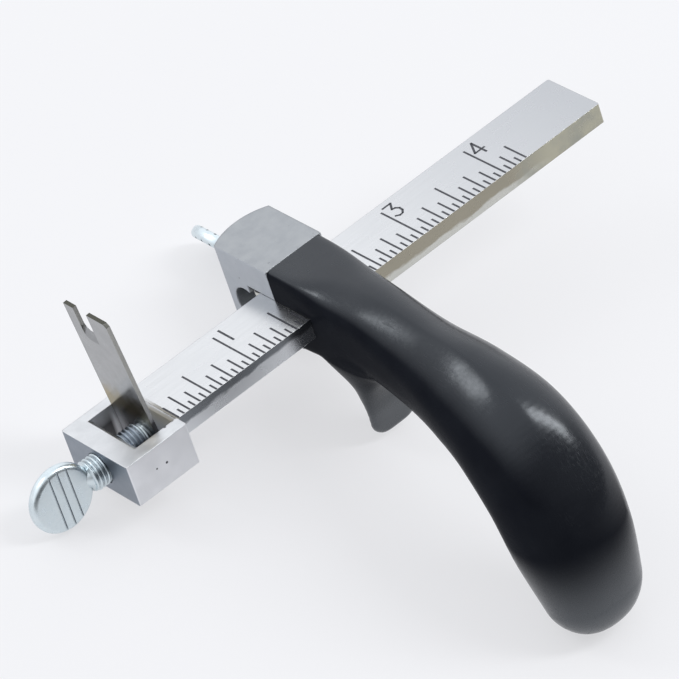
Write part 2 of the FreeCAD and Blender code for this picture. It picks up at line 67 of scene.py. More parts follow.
def bench_matrix():
    """From the tool's millimetres to the frame, placed by the mount on the head's top face."""
    turn = Matrix((AXIS_X, AXIS_Y, AXIS_Z)).transposed()
    place = Vector(mounts["head_top"]["pos_m"]) - turn @ (Vector(HEAD_TOP) * MM)
    return Matrix.Translation(place) @ turn.to_4x4() @ Matrix.Scale(MM, 4)


TO_BENCH = bench_matrix()


# ---------------------------------------------------------------- mesh helpers

def new_object(name, verts, faces, place=None):
    """An object from vertices in the tool's millimetres, with its faces turned outwards."""
    own = place or Matrix.Identity(4)
    mesh = bpy.data.meshes.new(name)
    mesh.from_pydata([TO_BENCH @ own @ Vector(vert) for vert in verts], [], faces)
    mesh.validate()
    edit = bmesh.new()
    edit.from_mesh(mesh)
    bmesh.ops.recalc_face_normals(edit, faces=edit.faces)
    edit.to_mesh(mesh)
    edit.free()
    item = bpy.data.objects.new(name, mesh)
    bpy.context.scene.collection.objects.link(item)
    return item


def new_piece(name, body, material, verts, faces, smooth=True, place=None):
    """A piece of the tool, riding on a body."""
    piece = new_object(name, verts, faces, place)
    for polygon in piece.data.polygons:
        polygon.use_smooth = smooth
    piece.data.materials.append(material)
    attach(piece, body)
    return piece


def ring_mesh(rings):
    """Vertices and quads for a closed skin through rings of points, with a cap at each end."""
    count = len(rings[0])
    verts = [point for ring in rings for point in ring]
    faces = []
    for row in range(len(rings) - 1):
        for k in range(count):
            a = row * count + k
            b = row * count + (k + 1) % count
            faces.append((a, b, b + count, a + count))
    faces.append(tuple(range(count)))
    faces.append(tuple(range(len(verts) - count, len(verts))))
    return verts, faces


def turned(profile, steps=64):
    """A body of revolution about X from a profile of (place along X, radius) pairs."""
    rings = []
    for along, radius in profile:
        turns = [2 * math.pi * k / steps for k in range(steps)]
        rings.append([(along, radius * math.cos(turn), radius * math.sin(turn)) for turn in turns])
    return ring_mesh(rings)


def use_modifier(piece, kind, **settings):
    """Add one modifier to a piece and apply it to the mesh."""
    modifier = piece.modifiers.new(kind.lower(), kind)
    for key, value in settings.items():
        setattr(modifier, key, value)
    depsgraph = bpy.context.evaluated_depsgraph_get()
    mesh = bpy.data.meshes.new_from_object(piece.evaluated_get(depsgraph))
    piece.modifiers.remove(modifier)
    piece.data = mesh


def shade_by_angle(piece, degrees):
    """Smooth shading, with creases where faces meet at more than the angle."""
    limit = math.radians(degrees)
    edit = bmesh.new()
    edit.from_mesh(piece.data)
    for face in edit.faces:
        face.smooth = True
    for edge in edit.edges:
        edge.smooth = len(edge.link_faces) == 2 and edge.calc_face_angle(0) < limit
    edit.to_mesh(piece.data)
    edit.free()


def box(low, high):
    x0, y0, z0 = low
    x1, y1, z1 = high
    verts = [(x, y, z) for x in (x0, x1) for y in (y0, y1) for z in (z0, z1)]
    faces = [(0, 1, 3, 2), (4, 6, 7, 5), (0, 4, 5, 1), (2, 3, 7, 6), (0, 2, 6, 4), (1, 5, 7, 3)]
    return verts, faces


def carve(piece, verts, faces, operation="DIFFERENCE", place=None):
    """Take a solid out of a piece, or add it with the operation UNION."""
    helper = new_object("helper", verts, faces, place)
    use_modifier(piece, "BOOLEAN", object=helper, operation=operation, solver="EXACT")
    bpy.data.objects.remove(helper, do_unlink=True)


# ---------------------------------------------------------------- material helpers

class Shader:
    """A small builder for one node material."""

    def __init__(self, name, colour, metallic, roughness):
        self.material = bpy.data.materials.new(name)
        self.material.use_nodes = True
        self.nodes = self.material.node_tree.nodes
        self.links = self.material.node_tree.links
        self.surface = self.nodes["Principled BSDF"]
        self.surface.inputs["Base Color"].default_value = (*colour, 1)
        self.surface.inputs["Metallic"].default_value = metallic
        self.surface.inputs["Roughness"].default_value = roughness

    def add(self, kind, **settings):
        node = self.nodes.new(kind)
        for key, value in settings.items():
            setattr(node, key, value)
        return node

    def tool_coordinates(self):
        """Object coordinates turned into the tool's own axes, in millimetres."""
        texture = self.add("ShaderNodeTexCoord")
        mapping = self.add("ShaderNodeMapping")
        back = TO_BENCH.inverted()
        mapping.inputs["Location"].default_value = back.to_translation()
        mapping.inputs["Rotation"].default_value = back.to_3x3().normalized().to_euler()
        mapping.inputs["Scale"].default_value = (1000, 1000, 1000)
        self.links.new(texture.outputs["Object"], mapping.inputs["Vector"])
        return mapping.outputs["Vector"]

    def noise(self, scale, detail=4.0, stretch=(1, 1, 1)):
        """Noise whose scale is in features per millimetre, set off from the tool's flat faces."""
        stretcher = self.add("ShaderNodeMapping")
        stretcher.inputs["Location"].default_value = (3.31, 5.47, 7.23)
        stretcher.inputs["Scale"].default_value = stretch
        self.links.new(self.tool_coordinates(), stretcher.inputs["Vector"])
        noise = self.add("ShaderNodeTexNoise")
        noise.inputs["Scale"].default_value = scale
        noise.inputs["Detail"].default_value = detail
        noise.inputs["Roughness"].default_value = 0.55
        self.links.new(stretcher.outputs["Vector"], noise.inputs["Vector"])
        return noise.outputs["Fac"]

    def spread(self, value, low, high, out_low=0.0, out_high=1.0, smooth=False):
        """Map a value's range low..high onto out_low..out_high."""
        ranger = self.add("ShaderNodeMapRange")
        ranger.interpolation_type = "SMOOTHSTEP" if smooth else "LINEAR"
        ranger.inputs["From Min"].default_value = low
        ranger.inputs["From Max"].default_value = high
        ranger.inputs["To Min"].default_value = out_low
        ranger.inputs["To Max"].default_value = out_high
        self.links.new(value, ranger.inputs["Value"])
        return ranger.outputs["Result"]

    def axis(self, name):
        split = self.add("ShaderNodeSeparateXYZ")
        self.links.new(self.tool_coordinates(), split.inputs["Vector"])
        return split.outputs[name]

    def math(self, operation, first, second=None):
        node = self.add("ShaderNodeMath", operation=operation)
        for socket, value in zip(node.inputs, (first, second)):
            if value is None:
                continue
            if isinstance(value, (int, float)):
                socket.default_value = value
            else:
                self.links.new(value, socket)
        return node.outputs["Value"]

    def mix(self, amount, first, second):
        """Mix two colours, each a triple or a socket."""
        node = self.add("ShaderNodeMix", data_type="RGBA")
        self.links.new(amount, node.inputs["Factor"])
        for socket, value in ((node.inputs[6], first), (node.inputs[7], second)):
            if isinstance(value, tuple):
                socket.default_value = (*value, 1)
            else:
                self.links.new(value, socket)
        return node.outputs[2]

    def colour(self, socket):
        self.links.new(socket, self.surface.inputs["Base Color"])

    def roughness(self, socket):
        self.links.new(socket, self.surface.inputs["Roughness"])

    def relief(self, height, depth, edge=0.0):
        """Bump of a depth in millimetres, over edges rounded to a radius in millimetres."""
        bump = self.add("ShaderNodeBump")
        bump.inputs["Strength"].default_value = 1.0
        bump.inputs["Distance"].default_value = depth * MM
        self.links.new(height, bump.inputs["Height"])
        if edge:
            rounder = self.add("ShaderNodeBevel", samples=6)
            rounder.inputs["Radius"].default_value = edge * MM
            self.links.new(rounder.outputs["Normal"], bump.inputs["Normal"])
        self.links.new(bump.outputs["Normal"], self.surface.inputs["Normal"])


def near(shader, place, radius):
    """1 at a place in the tool's millimetres, falling to 0 at a radius."""
    offset = shader.add("ShaderNodeVectorMath", operation="SUBTRACT")
    shader.links.new(shader.tool_coordinates(), offset.inputs[0])
    offset.inputs[1].default_value = place
    length = shader.add("ShaderNodeVectorMath", operation="LENGTH")
    shader.links.new(offset.outputs["Vector"], length.inputs[0])
    return shader.spread(length.outputs["Value"], radius, 0.0, smooth=True)


def crevice(shader, reach, low, high):
    """1 deep in a groove about as wide as reach millimetres, 0 in the open; used to paint shade into
    grooves.
    """
    open_sky = shader.add("ShaderNodeAmbientOcclusion", samples=8, only_local=True)
    open_sky.inputs["Distance"].default_value = reach * MM
    return shader.spread(open_sky.outputs["AO"], high, low)


def facing(shader, direction, low, high):
    """0 to 1 as the surface turns towards a direction given in the tool's axes."""
    texture = shader.add("ShaderNodeTexCoord")
    aim = TO_BENCH.to_3x3() @ Vector(direction)
    dot = shader.add("ShaderNodeVectorMath", operation="DOT_PRODUCT")
    shader.links.new(texture.outputs["Normal"], dot.inputs[0])
    dot.inputs[1].default_value = aim.normalized()
    return shader.spread(dot.outputs["Value"], low, high, smooth=True)


# ---------------------------------------------------------------- materials

def head_metal():
    shader = Shader("bare_head", (0.38, 0.39, 0.41), 1.0, 0.45)
    mottle = shader.noise(0.35, 5)
    grain = shader.noise(6.0, 3)
    shade = shader.mix(shader.spread(mottle, 0.3, 0.7), (0.35, 0.365, 0.385), (0.42, 0.435, 0.45))
    specks = shader.spread(shader.noise(1.1, 2), 0.71, 0.78)
    # Painted light: the left face is painted a lighter, bluer grey than the rest of the head.
    shade = shader.mix(facing(shader, (-1, 0, 0), 0.3, 0.9), shade, (0.45, 0.475, 0.51))
    shader.colour(shader.mix(specks, shade, (0.22, 0.23, 0.25)))
    shader.roughness(shader.spread(mottle, 0.3, 0.7, 0.42, 0.54))
    shader.relief(grain, 0.02, edge=0.7)
    return shader.material


def bar_metal():
    shader = Shader("graduated_bar", (0.63, 0.64, 0.66), 1.0, 0.3)
    brush = shader.noise(1.2, 1, stretch=(0.08, 1, 1))
    cloud = shader.noise(0.12, 4)
    ragged = shader.noise(0.5, 5, stretch=(0.4, 1, 1))
    along = shader.axis("X")
    down = shader.axis("Z")
    face = shader.mix(shader.spread(brush, 0.3, 0.7), (0.67, 0.675, 0.685), (0.70, 0.705, 0.715))
    face = shader.mix(shader.spread(along, 60.0, 128.0), face, (0.50, 0.51, 0.53))

    # The sawn near and far sides: dark above and scraped bright below, stained towards the free end. The
    # dark of the upper band is partly the metal's own and partly painted shade.
    level = shader.math("ADD", down, shader.math("MULTIPLY", ragged, 2.4))
    sloping = shader.math("ADD", level, shader.math("MULTIPLY", along, -0.02))
    scraped = shader.spread(sloping, -0.9, -1.6)
    near_holder = shader.mix(scraped, (0.24, 0.255, 0.275), (0.76, 0.78, 0.81))
    far_stain = shader.mix(shader.spread(level, -2.1, -2.7), (0.36, 0.335, 0.27), (0.62, 0.62, 0.58))
    stain = shader.mix(shader.spread(cloud, 0.4, 0.62), (0.47, 0.455, 0.36), (0.38, 0.38, 0.33))
    far_end = shader.spread(shader.math("ADD", along, shader.math("MULTIPLY", cloud, 20.0)), 112.0, 122.0)
    sides = shader.mix(shader.spread(along, 50.0, 56.0), near_holder, far_stain)
    sides = shader.mix(far_end, sides, stain)
    top = facing(shader, (0, 0, 1), 0.55, 0.85)
    shader.colour(shader.mix(top, sides, face))
    shader.roughness(shader.spread(cloud, 0.25, 0.75, 0.24, 0.30))
    shader.relief(brush, 0.001, edge=0.2)
    return shader.material


# Pits on the near face of the holder and chips on the lip of its pocket, with their radii.
CASTING_PITS = (
    ((-5.0, -12.1, -5.5), 0.55),
    ((-7.8, -12.1, -5.3), 0.40),
    ((1.5, -8.3, 0.0), 0.70),
    ((-0.8, -8.6, 0.0), 0.60),
)


def holder_metal():
    shader = Shader("blade_holder", (0.62, 0.63, 0.65), 1.0, 0.38)
    cloud = shader.noise(0.25, 5)
    grain = shader.noise(4.0, 3)
    face = shader.mix(shader.spread(cloud, 0.3, 0.7), (0.62, 0.63, 0.645), (0.74, 0.75, 0.765))
    # Painted light and shade: the left face is painted a dark bluish grey and the near face a light grey.
    face = shader.mix(facing(shader, (-1, 0, 0), 0.5, 0.9), face, (0.27, 0.30, 0.345))
    face = shader.mix(facing(shader, (0, -1, 0), 0.5, 0.9), face, (0.82, 0.83, 0.86))
    for place, radius in CASTING_PITS:
        pit = shader.spread(near(shader, place, radius), 0.2, 0.6)
        face = shader.mix(pit, face, (0.06, 0.06, 0.07))
    # Painted shade: deep inside the blade pocket the metal is painted almost black.
    deep = shader.spread(shader.axis("Z"), -0.6, -4.0)
    inside = shader.math("MULTIPLY", deep, inside_pocket(shader))
    shader.colour(shader.mix(inside, face, (0.10, 0.10, 0.105)))
    shader.roughness(shader.spread(cloud, 0.3, 0.7, 0.32, 0.46))
    shader.relief(grain, 0.02, edge=0.4)
    return shader.material


def inside_pocket(shader):
    """1 in the blade pocket, from its left rim to just short of the blade, at any depth."""
    along = shader.axis("X")
    across = shader.axis("Y")
    run = shader.math("MULTIPLY", shader.spread(along, -9.6, -9.0), shader.spread(along, -3.0, -4.0))
    width = shader.math("MULTIPLY", shader.spread(across, -9.3, -8.9), shader.spread(across, 9.6, 9.2))
    return shader.math("MULTIPLY", run, width)


def blade_metal():
    shader = Shader("blade_steel", (0.33, 0.335, 0.34), 1.0, 0.22)
    cloud = shader.noise(0.3, 4)
    height = shader.axis("Z")
    steel = shader.mix(shader.spread(cloud, 0.3, 0.7), (0.295, 0.30, 0.305), (0.37, 0.375, 0.38))
    # Painted shade: the blade is painted darker from just above the holder down into the pocket.
    steel = shader.mix(shader.spread(height, 1.0, -4.0), steel, (0.17, 0.17, 0.175))

    # A brownish band crosses the blade above the holder.
    wobble = shader.math("ADD", height, shader.math("MULTIPLY", cloud, 6.0))
    rise = shader.spread(wobble, 1.5, 5.0, smooth=True)
    fall = shader.spread(wobble, 12.0, 6.0, smooth=True)
    face = shader.mix(shader.math("MULTIPLY", rise, fall), steel, (0.30, 0.25, 0.15))
    # Painted shade: the narrow near side is painted darker towards the holder.
    side = shader.mix(shader.spread(height, 3.0, 12.0), (0.20, 0.20, 0.205), (0.40, 0.40, 0.38))
    face = shader.mix(facing(shader, (0, -1, 0), 0.6, 0.9), face, side)
    # Painted shade: the faces turned up along the blade are painted almost black.
    upturned_painted_shade = facing(shader, (0, 0, 1), 0.45, 0.8)
    shader.colour(shader.mix(upturned_painted_shade, face, (0.085, 0.085, 0.07)))
    shader.roughness(shader.spread(cloud, 0.3, 0.7, 0.18, 0.28))
    shader.relief(shader.noise(2.0, 3, stretch=(1, 1, 0.1)), 0.006, edge=0.12)
    return shader.material


def zinc():
    shader = Shader("zinc_screw", (0.62, 0.69, 0.73), 1.0, 0.26)
    cloud = shader.noise(0.5, 4)
    plate = shader.mix(shader.spread(cloud, 0.3, 0.7), (0.62, 0.70, 0.74), (0.74, 0.81, 0.84))
    # Painted shade: the screw is painted darker where it lies inside the blade pocket.
    plate = shader.mix(inside_pocket(shader), plate, (0.36, 0.41, 0.47))
    # Painted shade: thread valleys and disc grooves are painted dark.
    shader.colour(shader.mix(crevice(shader, 0.8, 0.35, 0.80), plate, (0.10, 0.12, 0.15)))
    shader.roughness(shader.spread(cloud, 0.3, 0.7, 0.24, 0.38))
    shader.relief(shader.noise(3.0, 3), 0.012, edge=0.15)
    return shader.material


def shoe_metal():
    shader = Shader("shoe", (0.66, 0.66, 0.62), 1.0, 0.35)
    cloud = shader.noise(0.8, 4)
    shader.colour(shader.mix(shader.spread(cloud, 0.3, 0.7), (0.60, 0.60, 0.55), (0.74, 0.74, 0.71)))
    shader.relief(shader.noise(4.0, 3), 0.015, edge=0.5)
    return shader.material


def ink():
    shader = Shader("scale_ink", (0.035, 0.037, 0.045), 0.0, 0.6)
    wear = shader.noise(1.5, 4)
    shader.colour(shader.mix(shader.spread(wear, 0.45, 0.8), (0.030, 0.032, 0.040), (0.09, 0.09, 0.10)))
    return shader.material


def black_grip():
    shader = Shader("black_grip", (0.008, 0.010, 0.016), 0.0, 0.25)
    shader.surface.inputs["Specular Tint"].default_value = (0.88, 0.94, 1.0, 1)
    cloud = shader.noise(0.10, 5)
    fine = shader.noise(1.2, 4)
    shader.colour(shader.mix(shader.spread(cloud, 0.3, 0.7),
                             (0.008, 0.009, 0.0125), (0.0115, 0.013, 0.017)))
    streaks = shader.noise(2.2, 5, stretch=(1, 0.12, 0.35))
    scuffed = shader.math("MULTIPLY", shader.spread(streaks, 0.52, 0.68), shader.spread(cloud, 0.45, 0.6))
    rough = shader.spread(fine, 0.3, 0.7, 0.19, 0.27)
    shader.roughness(shader.math("ADD", rough, shader.math("MULTIPLY", scuffed, 0.16)))

    # The grip reflects on the faces turned up at rest, on the right, at the butt and on the spur, and
    # hardly at all elsewhere: painted shade that keeps its flanks dark.
    on_top = facing(shader, UP_AT_REST, 0.45, 0.80)
    on_right = facing(shader, (1, 0, 0), 0.6, 1.0)
    height = shader.axis("Z")
    at_butt = shader.spread(height, -34.0, -58.0, 0.0, 2.4, smooth=True)
    in_front = shader.spread(shader.axis("Y"), -40.0, -34.0)
    on_spur = shader.math("MULTIPLY", shader.spread(height, -11.5, -26.0, 0.0, 2.4), in_front)
    reflecting_zones = shader.math("MAXIMUM", on_top, on_right)
    reflecting_zones = shader.math("MAXIMUM", reflecting_zones, at_butt)
    reflecting_zones = shader.math("MAXIMUM", reflecting_zones, on_spur)
    gloss = shader.spread(reflecting_zones, 0.0, 2.4, 0.005, 1.20)
    shader.links.new(gloss, shader.surface.inputs["Specular IOR Level"])
    scratch = shader.noise(5.0, 2, stretch=(1, 0.08, 0.3))
    worn = shader.math("ADD", shader.noise(0.25, 3), shader.math("MULTIPLY", scratch, 0.08))
    shader.relief(worn, 0.04)
    return shader.material


HEAD_METAL = head_metal()
BAR_METAL = bar_metal()
HOLDER_METAL = holder_metal()
BLADE_METAL = blade_metal()
ZINC = zinc()
SHOE_METAL = shoe_metal()
INK = ink()
BLACK = black_grip()


def dress_node(node, material):
    """Give a CAD node that keeps its shape a better material."""
    for slot in bpy.data.objects[node].material_slots:
        slot.material = material


# ---------------------------------------------------------------- grip

# Stations of the grip from the head to the butt: back, rise, half width along the bar, half depth, and
# the exponents of the superellipses that its section follows at the upper right, below and at the upper
# left, where a low one makes the crest that the thumb lies against.
STATIONS = (
    (10.0, -2.5, 8.28, 10.5, 16.0, 16.0, 16.0),
    (-1.0, -2.45, 8.28, 10.45, 12.0, 14.0, 12.0),
    (-11.0, -2.2, 8.32, 10.15, 4.4, 9.0, 3.4),
    (-24.4, -2.4, 8.15, 9.9, 2.4, 5.5, 1.75),
    (-38.4, -5.2, 8.95, 10.65, 2.0, 3.8, 1.4),
    (-52.3, -8.4, 11.1, 12.2, 1.95, 3.1, 1.4),
    (-64.0, -14.5, 13.0, 13.3, 2.1, 2.7, 1.8),
    (-71.4, -25.5, 13.8, 13.25, 2.3, 2.4, 2.2),
    (-74.7, -39.5, 13.7, 11.95, 2.25, 2.3, 2.25),
    (-76.5, -53.8, 11.9, 9.1, 2.2, 2.2, 2.2),
)
STATION_RINGS = 110
BUTT_REACH = 8.8
BUTT_RINGS = 12
BUTT_POWER = 0.65
BUTT_TAPER = 0.15

# The finger spur at evenly spaced levels from its root inside the grip down to its tip: the place of
# its front and its rear across the bar, and half its width along the bar.
SPUR_ROOT = -8.0
SPUR_TIP = -32.4
SPUR_FRONT = (1.0, -3.0, -14.0, -16.7, -17.2, -16.6, -15.6)
SPUR_REAR = (-34.0, -26.0, -22.8, -21.0, -20.0, -19.1, -18.4)
SPUR_HALF_WIDTH = (8.2, 8.2, 8.0, 7.6, 7.1, 6.7, 6.3)
SPUR_SIDE_ROUND = 4.2
SPUR_EDGE_ROUND = 1.35
SPUR_SKEW = 0.6
SPUR_RINGS = 44
SPUR_STEPS = 48


def spline(values, at):
    """A smooth curve through evenly spaced values, read at a fraction of an index."""
    k = min(int(at), len(values) - 2)
    t = at - k
    before = values[max(k - 1, 0)]
    first, second = values[k], values[k + 1]
    after = values[min(k + 2, len(values) - 1)]
    slope_in = (second - before) / 2
    slope_out = (after - first) / 2
    return ((2 * t**3 - 3 * t**2 + 1) * first + (t**3 - 2 * t**2 + t) * slope_in
            + (-2 * t**3 + 3 * t**2) * second + (t**3 - t**2) * slope_out)


def grip_section(at, scale=1.0, push=0.0):
    """One ring of points round the grip, at a fraction of a station index."""
    steps = 96
    columns = list(zip(*STATIONS))
    y, z, half_width, half_depth, upper, lower, upper_left = (spline(column, at) for column in columns)
    ahead = min(at + 0.02, len(STATIONS) - 1)
    behind = max(at - 0.02, 0)
    back = Vector((0, spline(columns[0], ahead) - spline(columns[0], behind),
                   spline(columns[1], ahead) - spline(columns[1], behind))).normalized()
    if at < 1:
        back = Vector((0, -1, 0))
    up = back.cross(Vector((1, 0, 0)))
    centre = Vector((HEAD_MIDDLE, y, z)) + back * push
    ring = []
    for k in range(steps):
        turn = 2 * math.pi * k / steps
        c, s = math.cos(turn), math.sin(turn)
        top = upper_left if c < 0 else upper
        power = top + (lower - top) * (0.5 - 0.5 * s)
        across = math.copysign(abs(c) ** (2 / power), c) * half_width * scale
        over = math.copysign(abs(s) ** (2 / power), s) * half_depth * scale
        ring.append(centre + Vector((1, 0, 0)) * across + up * over)
    return ring


def grip_skin():
    """The grip through all its stations, closed by a dome at the butt."""
    last = len(STATIONS) - 1
    rings = [grip_section(last * k / STATION_RINGS) for k in range(STATION_RINGS + 1)]
    for k in range(1, BUTT_RINGS + 1):
        angle = math.radians(89 * k / BUTT_RINGS)
        scale = math.cos(angle) ** BUTT_POWER * (1 - BUTT_TAPER * math.sin(angle))
        rings.append(grip_section(last, scale, BUTT_REACH * math.sin(angle)))
    return ring_mesh(rings)


def round_off(left, radius):
    """How much of a rounded end's half width is lost at a distance left before the end."""
    if left >= radius:
        return 0.0
    return radius * (1 - math.sqrt(1 - (1 - left / radius) ** 2))


def spur_skin():
    """The finger spur, as level rings from inside the grip down to its tip, closer near the tip."""
    thinnest = 0.02
    rings = []
    for k in range(SPUR_RINGS):
        t = math.sin(math.pi / 2 * k / (SPUR_RINGS - 1))
        z = SPUR_ROOT + (SPUR_TIP + thinnest - SPUR_ROOT) * t
        left = z - SPUR_TIP
        at = (z - SPUR_ROOT) / (SPUR_TIP - SPUR_ROOT) * (len(SPUR_FRONT) - 1)
        front = spline(SPUR_FRONT, at)
        rear = spline(SPUR_REAR, at)
        half_x = spline(SPUR_HALF_WIDTH, at) - round_off(left, SPUR_SIDE_ROUND)
        half_y = (front - rear) / 2 - round_off(left, SPUR_EDGE_ROUND)
        middle = Vector((HEAD_MIDDLE - SPUR_SKEW * t, (front + rear) / 2, z))
        ring = []
        for step in range(SPUR_STEPS):
            turn = 2 * math.pi * step / SPUR_STEPS
            c, s = math.cos(turn), math.sin(turn)
            across = math.copysign(abs(c) ** 0.45, c) * half_x
            along = math.copysign(abs(s) ** 0.75, s) * max(half_y, thinnest)
            ring.append(middle + Vector((across, along, 0)))
        rings.append(ring)
    return ring_mesh(rings)


def blend_spur(grip):
    """Run the spur into the grip with a smooth hollow."""
    back = TO_BENCH.inverted()
    group = grip.vertex_groups.new(name="soft")
    for vert in grip.data.vertices:
        place = back @ vert.co
        weight = max(0.0, 1.0 - abs(place.z + 13.0) / 6.0) if -34 < place.y < -1 else 0.0
        if weight > 0:
            group.add([vert.index], weight, "REPLACE")
    use_modifier(grip, "SMOOTH", factor=0.6, iterations=20, vertex_group="soft")


def sharpen(grip, verts, faces):
    """Draw the remeshed surface back onto the exact skin, away from the spur."""
    back = TO_BENCH.inverted()
    skin = new_object("skin", verts, faces)
    group = grip.vertex_groups.new(name="exact")
    for vert in grip.data.vertices:
        place = back @ vert.co
        above_spur = min(max((place.z + 9.5) / 3.0, 0.0), 1.0)
        behind_spur = min(max((-36 - place.y) / 4, 0.0), 1.0)
        weight = above_spur if -36 < place.y < 1 else behind_spur
        weight = 1.0 if place.y >= 1 else weight
        if weight > 0:
            group.add([vert.index], weight, "REPLACE")
    use_modifier(grip, "SHRINKWRAP", target=skin, vertex_group="exact")
    bpy.data.objects.remove(skin, do_unlink=True)


def make_grip():
    """The moulded grip with its spur, cut off square at the bare head and open for the bar."""
    skin = grip_skin()
    grip = new_piece("moulded_grip", "handle", BLACK, *skin)
    carve(grip, *spur_skin(), operation="UNION")
    voxel = 0.45
    use_modifier(grip, "REMESH", mode="VOXEL", voxel_size=voxel * MM, use_smooth_shade=True)
    blend_spur(grip)
    sharpen(grip, *skin)
    left = HEAD_LEFT - CUT_OVERRUN
    right = HEAD_LEFT + HEAD_THICKNESS + CUT_OVERRUN
    carve(grip, *box((left, JOINT_Y, -20.0), (right, 20.0, 20.0)))
    carve(grip, *box((left, -BAR_HALF_WIDTH - SLOT_PLAY, -BAR_THICKNESS - SLOT_PLAY),
                     (right, 20.0, SLOT_PLAY)))
    shade_by_angle(grip, 40)
    grip.data.materials.clear()
    grip.data.materials.append(BLACK)
    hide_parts("grip")


# ---------------------------------------------------------------- screws

THREAD_RADIUS = 3.94
THREAD_PITCH = INCH / 24
THREAD_DEPTH = 0.58 * THREAD_PITCH
THREAD_START = 7.7
DISC_RADIUS = 8.2
DISC_HALF = 1.5
DISC_RIM = 1.2
GROOVE_WIDTH = 0.44
GROOVE_DEPTH = 0.28
GROOVE_PITCH = 2.35
GROOVE_SHIFT = 0.5

# The neck that joins the shank to the disc: places along the screw and radii.
NECK = ((6.2, 1.2), (7.7, 2.9), (8.3, 3.3), (8.6, 2.6))

# Middle of each thumb disc, the turn of the lock screw and how far each tip lies from the disc.
BLADE_SCREW_PLACE = (-26.3, 0, -5.5)
BLADE_SCREW_REACH = 24.0
LOCK_SCREW_PLACE = (HEAD_MIDDLE, 33.6, -2.6)
LOCK_SCREW_TURN = math.radians(33.1)
LOCK_SCREW_REACH = 17.6


def thread(start, stop):
    """A 5/16 inch thread of 24 turns to the inch about X, as one closed skin."""
    rings_per_turn = 10
    steps = 40
    count = int((stop - start) / THREAD_PITCH * rings_per_turn)
    rings = []
    for row in range(count + 1):
        along = start + (stop - start) * row / count
        run_out = max(min(1.0, stop - along, (along - start) / 0.6 + 0.2), 0.0)
        ring = []
        for k in range(steps):
            phase = (along / THREAD_PITCH + k / steps) % 1.0
            crest = min(max((abs(2 * phase - 1) - 0.08) / 0.80, 0.0), 1.0)
            radius = THREAD_RADIUS - THREAD_DEPTH * (1 - crest * run_out)
            turn = 2 * math.pi * k / steps
            ring.append((along, radius * math.cos(turn), radius * math.sin(turn)))
        rings.append(ring)
    return ring_mesh(rings)


def thumb_disc():
    """The flat round head of a thumb screw, thin along X, with a rounded rim."""
    profile = [(-DISC_HALF, 0.01), (-DISC_HALF, DISC_RADIUS - DISC_RIM)]
    for k in range(1, 8):
        angle = math.pi / 2 * k / 8
        profile.append((-DISC_HALF + DISC_RIM * (1 - math.cos(angle)),
                        DISC_RADIUS - DISC_RIM * (1 - math.sin(angle))))
    mirrored = [(-along, radius) for along, radius in reversed(profile)]
    crown = [(-DISC_HALF + DISC_RIM, DISC_RADIUS), (DISC_HALF - DISC_RIM, DISC_RADIUS)]
    return turned(profile + crown + mirrored, 96)


def make_screw(name, body, place, reach, node):
    """A thumb screw whose local X runs from the middle of its disc to its tip."""
    stand_up = place @ Matrix.Rotation(math.pi / 2, 4, "Z")
    head = new_piece(name + "_head", body, ZINC, *thumb_disc(), place=stand_up)
    carve(head, *turned(NECK), operation="UNION", place=place)
    for side in (-DISC_HALF, DISC_HALF):
        for step in (-1, 0, 1):
            middle = step * GROOVE_PITCH + GROOVE_SHIFT
            low = (middle - GROOVE_WIDTH / 2, side - GROOVE_DEPTH, -9)
            high = (middle + GROOVE_WIDTH / 2, side + GROOVE_DEPTH, 9)
            carve(head, *box(low, high), place=place)
    shade_by_angle(head, 30)
    shank = new_piece(name + "_thread", body, ZINC, *thread(THREAD_START, reach), place=place)
    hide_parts(node)


def make_screws():
    blade_screw = Matrix.Translation(BLADE_SCREW_PLACE)
    make_screw("blade_screw", "clamp_screw", blade_screw, BLADE_SCREW_REACH, "blade_screw")
    lock_screw = (Matrix.Translation(LOCK_SCREW_PLACE) @ Matrix.Rotation(-math.pi / 2, 4, "Z")
                  @ Matrix.Rotation(LOCK_SCREW_TURN, 4, "X"))
    make_screw("lock_screw", "lock_screw", lock_screw, LOCK_SCREW_REACH, "bar_lock_screw")


# ---------------------------------------------------------------- engraved scale

SCALE_LIFT = 0.02
SCALE_START_Y = -8.72
FIRST_SIXTEENTH = 2
LAST_SIXTEENTH = 68
LINE_WIDTH = 0.5
FIGURE_LINE_WIDTH = 0.55
FIGURE_LEFT = 1.0
FIGURE_FOOT = 1.5

# Lengths of the scale's lines, by the sixteenths of an inch that they mark.
LINE_LENGTHS = {16: 14.8, 8: 10.4, 4: 7.6, 2: 5.6, 1: 2.3}

# Strokes of the numerals, on a grid 2.7 wide and 5.6 high: lines through the points listed.
NUMERALS = {
    1: (((1.35, 5.6), (1.35, 0.0)),),
    2: (((0.1, 4.3), (0.5, 5.3), (1.4, 5.6), (2.3, 5.2), (2.5, 4.2), (1.9, 3.0), (0.1, 0.1), (2.7, 0.1)),),
    3: (((0.1, 5.5), (2.5, 5.5), (1.2, 3.4), (2.0, 3.2), (2.6, 2.3), (2.5, 1.1), (1.8, 0.2), (0.9, 0.1),
         (0.1, 0.8)),),
    4: (((2.0, 0.0), (2.0, 5.5), (0.0, 1.7), (2.8, 1.7)),),
}


def stroke(points, width, verts, faces):
    """Add a flat ribbon along points on the bar's face to the vertices and faces of a mesh."""
    flat = [Vector((x, y, SCALE_LIFT)) for x, y in points]
    for first, second in zip(flat, flat[1:]):
        run = (second - first).normalized()
        side = Vector((-run.y, run.x, 0)) * width / 2
        tip = run * width / 3
        start = len(verts)
        verts += [first - side - tip, first + side - tip, second + side + tip, second - side + tip]
        faces.append((start, start + 1, start + 2, start + 3))


